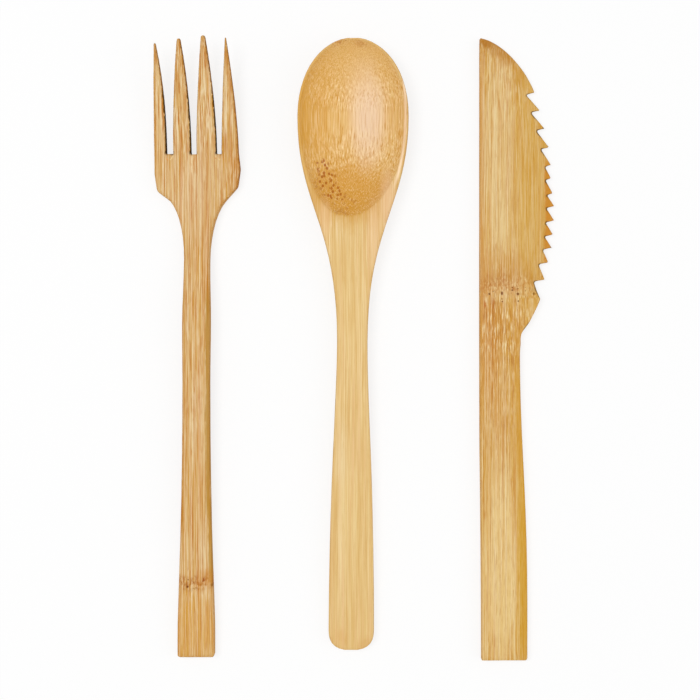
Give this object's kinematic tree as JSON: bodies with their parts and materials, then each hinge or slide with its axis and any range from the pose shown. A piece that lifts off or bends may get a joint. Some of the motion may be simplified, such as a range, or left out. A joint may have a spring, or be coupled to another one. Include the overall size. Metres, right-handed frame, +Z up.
{
  "type": "bamboo cutlery set",
  "caption": "Bamboo fork, spoon and saw-toothed knife laid side by side: tapered tines, an egg-shaped carved bowl, a bowed toothed edge and long waisted handles.",
  "frame": {"origin": "centre of the laid-out set on the surface it lies on: middle of its width and length, bottom", "axes": "+X from the fork towards the knife, +Y along the handles towards the heads, +Z up out of the spoon's bowl"},
  "size_m": [0.1278, 0.1988, 0.0116],
  "materials": {
    "fork_bamboo": "bare sanded bamboo, straight pale and orange fibre streaks, one node band near the end",
    "spoon_bamboo": "bare finely sanded bamboo, honey-coloured carved bowl with reddish vascular dots",
    "knife_bamboo": "bare sanded bamboo, golden along the toothed edge, node band behind the heel"
  },
  "bodies": {
    "root": {"fork": "fork_bamboo", "spoon": "spoon_bamboo", "knife": "knife_bamboo"}
  },
  "joints": []
}
